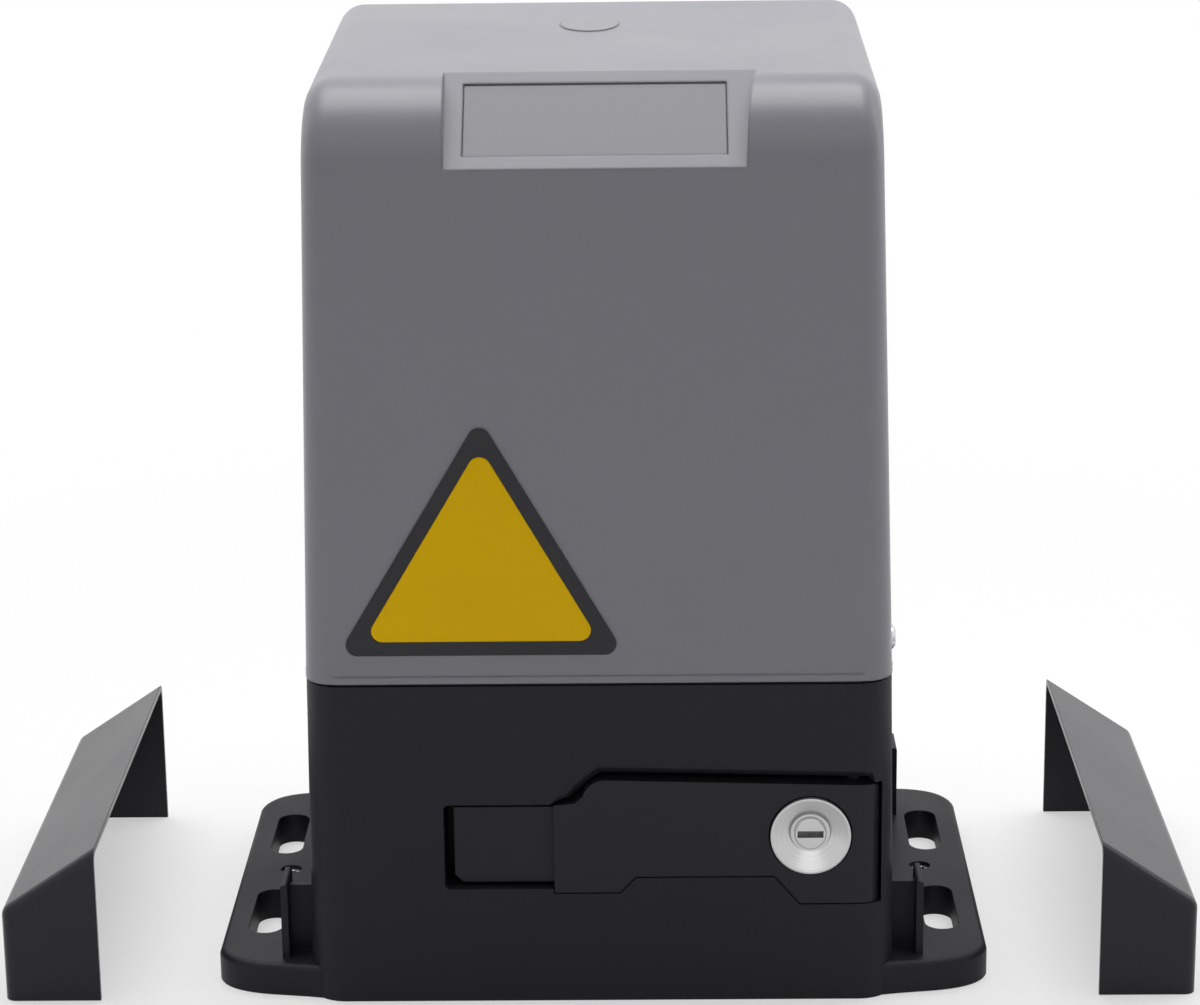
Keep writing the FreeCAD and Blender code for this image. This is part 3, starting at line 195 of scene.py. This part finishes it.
def turned_metal(name, colour, rough, centre):
    """Turned or polished metal: faint rings about an axis along Y through the centre."""
    tree, bsdf = new_material(name)
    coord = tree.nodes.new("ShaderNodeTexCoord")
    shift = tree.nodes.new("ShaderNodeVectorMath")
    shift.operation = "SUBTRACT"
    shift.inputs[1].default_value = centre
    tree.links.new(coord.outputs["Object"], shift.inputs[0])
    flat = tree.nodes.new("ShaderNodeVectorMath")
    flat.operation = "MULTIPLY"
    flat.inputs[1].default_value = (1.0, 0.0, 1.0)
    tree.links.new(shift.outputs[0], flat.inputs[0])
    rings = tree.nodes.new("ShaderNodeTexNoise")
    rings.noise_dimensions = "1D"
    rings.inputs["Scale"].default_value = RING_SCALE
    rings.inputs["Detail"].default_value = 2.0
    tree.links.new(length_of(tree, flat.outputs[0]), rings.inputs["W"])
    factor = rings.outputs["Fac"]
    stops = [(0.35, shade(colour, 0.93)), (0.65, shade(colour, 1.05))]
    tree.links.new(ramp(tree, factor, stops), bsdf.inputs["Base Color"])
    gloss = spread(tree, factor, rough - 0.03, rough + 0.05)
    tree.links.new(gloss, bsdf.inputs["Roughness"])
    bsdf.inputs["Metallic"].default_value = 1.0
    bump(tree, bsdf, factor, 0.05, RING_DEPTH)


def stacked_sheet(name, colour, pitch):
    """Sheet or wire laid in level rows, one row to a pitch: fine dark lines between them."""
    tree, bsdf = new_material(name)
    wave = tree.nodes.new("ShaderNodeTexWave")
    wave.wave_type = "BANDS"
    wave.bands_direction = "Z"
    wave.inputs["Scale"].default_value = WAVE_SCALE_AT_1_M / pitch
    wave.inputs["Distortion"].default_value = 0.0
    tree.links.new(mapped(tree, (0, 0, 1)), wave.inputs["Vector"])
    factor = wave.outputs["Fac"]
    stops = [(0.0, shade(colour, 0.55)), (0.35, colour), (1.0, shade(colour, 1.15))]
    tree.links.new(ramp(tree, factor, stops), bsdf.inputs["Base Color"])
    bsdf.inputs["Metallic"].default_value = SHEET_METAL
    tree.links.new(spread(tree, factor, 0.4, 0.55), bsdf.inputs["Roughness"])
    bump(tree, bsdf, factor, 0.3, SHEET_DEPTH)


# ---------- materials ----------

# cover and what is on it
surface("cover_abs", (0.238, 0.234, 0.267), 0.33, grain=1900, relief=0.10, vary=0.025,
        edge=COVER_EDGE_ROUND)
surface("insert_film", (0.212, 0.208, 0.236), 0.30, grain=2600, relief=0.03, vary=0.012,
        specular=0.4, patch=420.0, rough_span=0.015)
surface("badge_disc", (0.24, 0.237, 0.257), 0.34, grain=2600, relief=0.05, vary=0.02)
surface("plate_black", (0.021, 0.020, 0.024), 0.38, grain=2400, relief=0.05, specular=0.3)
surface("plate_yellow", (0.95, 0.58, 0.002), 0.40, grain=2400, relief=0.05, vary=0.03,
        specular=0.08)

# base, lever and hoods
surface("base_paint", (0.0155, 0.0147, 0.0210), 0.50, grain=1300, relief=0.22, vary=0.08,
        specular=0.20)
surface("lever_plastic", (0.0170, 0.0160, 0.0232), 0.44, grain=1700, relief=0.14,
        specular=0.22)
surface("hood_abs", (0.0105, 0.0095, 0.0165), 0.27, grain=1700, relief=0.06, vary=0.03,
        rough_span=0.02, specular=0.30, tint=(0.97, 0.95, 1.0, 1.0))
surface("black_plastic", (0.020, 0.020, 0.022), 0.48, relief=0.16, vary=0.08, specular=0.4)
surface("black_rubber", (0.012, 0.012, 0.013), 0.78, grain=1100, relief=0.3, vary=0.15,
        specular=0.3)

# metals
turned_metal("lock_chrome", (0.53, 0.525, 0.53), 0.17, pivots["lock_turn"])
turned_metal("bearing_steel", (0.52, 0.52, 0.54), 0.20, pivots["output_turn"])
surface("bright_steel", (0.58, 0.58, 0.60), 0.28, grain=900, relief=0.10, metal=1.0,
        vary=0.06)
surface("gear_steel", (0.36, 0.36, 0.38), 0.34, grain=1200, relief=0.25, metal=1.0,
        vary=0.10)
surface("bronze", (0.60, 0.38, 0.15), 0.34, grain=1100, relief=0.20, metal=1.0, vary=0.10)
surface("bare_aluminium", (0.62, 0.63, 0.65), 0.46, grain=700, relief=0.35, metal=1.0,
        vary=0.06)

# electrical pieces
stacked_sheet("laminations", (0.20, 0.20, 0.21), 0.0010)
stacked_sheet("copper_wire", (0.55, 0.21, 0.07), 0.0012)
surface("coil_tape", (0.58, 0.44, 0.06), 0.36, grain=700, relief=0.10, vary=0.08)
surface("board_green", (0.012, 0.12, 0.040), 0.30, grain=420, relief=0.15, vary=0.30,
        patch=260.0)
surface("terminal_green", (0.020, 0.24, 0.085), 0.42, relief=0.10)
surface("capacitor_white", (0.66, 0.66, 0.63), 0.35, grain=1800, relief=0.06, vary=0.03)

for row in frame["record"]["subparts"]:
    slots = nodes[row["node"]].data.materials
    slots.clear()
    slots.append(finishes[row["material_slot"]])

# the hinge pin shows in the recess, where bright steel would stand out, so it gets a near-black
# colour: painted shade of the recess on the pin
surface("pin_painted_shade", (0.030, 0.030, 0.034), 0.45, grain=1200, relief=0.15, vary=0.08,
        specular=0.3)
nodes["lever_pin"].data.materials[0] = finishes["pin_painted_shade"]


# ---------- floor, light, world ----------

def looked_at(tree):
    """1 for rays that show the background: seen directly, in a gloss or through glass."""
    path = tree.nodes.new("ShaderNodeLightPath").outputs
    glossy = math_node(tree, "MAXIMUM", path["Is Camera Ray"], path["Is Glossy Ray"])
    return math_node(tree, "MAXIMUM", glossy, path["Is Transmission Ray"])


def floor():
    """Pale paper that fades into the white room away from the object."""
    r = FLOOR_HALF
    mesh = bpy.data.meshes.new("floor")
    mesh.from_pydata([(-r, -r, 0), (r, -r, 0), (r, r, 0), (-r, r, 0)], [], [(0, 1, 2, 3)])
    obj = bpy.data.objects.new("floor", mesh)
    bpy.context.scene.collection.objects.link(obj)
    obj.location.z = -FLOOR_DROP
    tree, bsdf = new_material("floor_paper")
    fibre = noise(tree, mapped(tree, (1, 1, 1)), 300.0, 2.0)
    dark, pale = ((tone,) * 3 for tone in PAPER_TONES)
    paper = ramp(tree, fibre, [(0.3, dark), (0.7, pale)])
    tree.links.new(paper, bsdf.inputs["Base Color"])
    bsdf.inputs["Roughness"].default_value = 0.9
    bsdf.inputs["Specular IOR Level"].default_value = 0.1
    coord = tree.nodes.new("ShaderNodeTexCoord")
    fade = tree.nodes.new("ShaderNodeMapRange")
    fade.interpolation_type = "SMOOTHSTEP"
    fade.inputs["To Min"].default_value = FADE_LEAST
    fade.inputs["From Min"].default_value = FADE_START
    fade.inputs["From Max"].default_value = FADE_END
    tree.links.new(length_of(tree, coord.outputs["Object"]), fade.inputs["Value"])
    glow = tree.nodes.new("ShaderNodeEmission")
    glow.inputs["Color"].default_value = WHITE
    seen = math_node(tree, "MULTIPLY", fade.outputs["Result"], looked_at(tree))
    mix = tree.nodes.new("ShaderNodeMixShader")
    tree.links.new(seen, mix.inputs["Fac"])
    tree.links.new(bsdf.outputs[0], mix.inputs[1])
    tree.links.new(glow.outputs[0], mix.inputs[2])
    out = next(node for node in tree.nodes if node.type == "OUTPUT_MATERIAL")
    tree.links.new(mix.outputs[0], out.inputs[0])
    mesh.materials.append(finishes["floor_paper"])


def world():
    """A white background, and a room that lights the object mostly from behind."""
    studio = bpy.data.worlds.new("studio")
    bpy.context.scene.world = studio
    studio.use_nodes = True
    tree = studio.node_tree
    tree.nodes.clear()
    out = tree.nodes.new("ShaderNodeOutputWorld")
    coord = tree.nodes.new("ShaderNodeTexCoord")
    split = tree.nodes.new("ShaderNodeSeparateXYZ")
    tree.links.new(coord.outputs["Generated"], split.inputs[0])
    behind = tree.nodes.new("ShaderNodeMapRange")
    behind.interpolation_type = "SMOOTHSTEP"
    behind.inputs["From Min"].default_value = ROOM_TURN[0]
    behind.inputs["From Max"].default_value = ROOM_TURN[1]
    behind.inputs["To Min"].default_value = ROOM_FRONT
    behind.inputs["To Max"].default_value = ROOM_BACK
    tree.links.new(split.outputs["Y"], behind.inputs["Value"])
    room = tree.nodes.new("ShaderNodeBackground")
    room.inputs["Color"].default_value = ROOM_COLOUR
    tree.links.new(behind.outputs["Result"], room.inputs["Strength"])
    seen = tree.nodes.new("ShaderNodeBackground")
    seen.inputs["Color"].default_value = WHITE
    seen.inputs["Strength"].default_value = 1.0
    mix = tree.nodes.new("ShaderNodeMixShader")
    tree.links.new(looked_at(tree), mix.inputs["Fac"])
    tree.links.new(room.outputs[0], mix.inputs[1])
    tree.links.new(seen.outputs[0], mix.inputs[2])
    tree.links.new(mix.outputs[0], out.inputs[0])


def lamp(name, place, aim, size, power):
    data = bpy.data.lights.new(name, "AREA")
    data.shape = "RECTANGLE"
    data.size, data.size_y = size
    data.energy = power
    obj = bpy.data.objects.new(name, data)
    bpy.context.scene.collection.objects.link(obj)
    obj.location = place
    towards = Vector(aim) - Vector(place)
    obj.rotation_euler = towards.to_track_quat("-Z", "Y").to_euler()


floor()
world()
for lamp_name, setting in LAMPS.items():
    lamp(lamp_name, *setting)


# ---------- camera ----------

def camera():
    """A level camera at the object's front, turned down, aside and a little over."""
    data = bpy.data.cameras.new("camera")
    data.sensor_width = SENSOR_MM
    data.lens = LENS_MM
    data.clip_end = CLIP_END
    obj = bpy.data.objects.new("camera", data)
    bpy.context.scene.collection.objects.link(obj)
    pitch, yaw, roll = (math.radians(a) for a in (CAMERA_PITCH, CAMERA_YAW, CAMERA_ROLL))
    ahead = Vector((-math.sin(yaw), math.cos(yaw), 0.0))
    right = Vector((math.cos(yaw), math.sin(yaw), 0.0))
    rise = Vector((0.0, 0.0, 1.0))
    forward = math.cos(pitch) * ahead - math.sin(pitch) * rise
    up = math.sin(pitch) * ahead + math.cos(pitch) * rise
    side = math.cos(roll) * right + math.sin(roll) * up
    top = -math.sin(roll) * right + math.cos(roll) * up
    pose = Matrix((side, top, -forward)).transposed().to_4x4()
    pose.translation = Vector(CAMERA_PLACE)
    obj.matrix_world = pose
    bpy.context.scene.camera = obj


camera()
bpy.context.scene.view_settings.view_transform = "Standard"
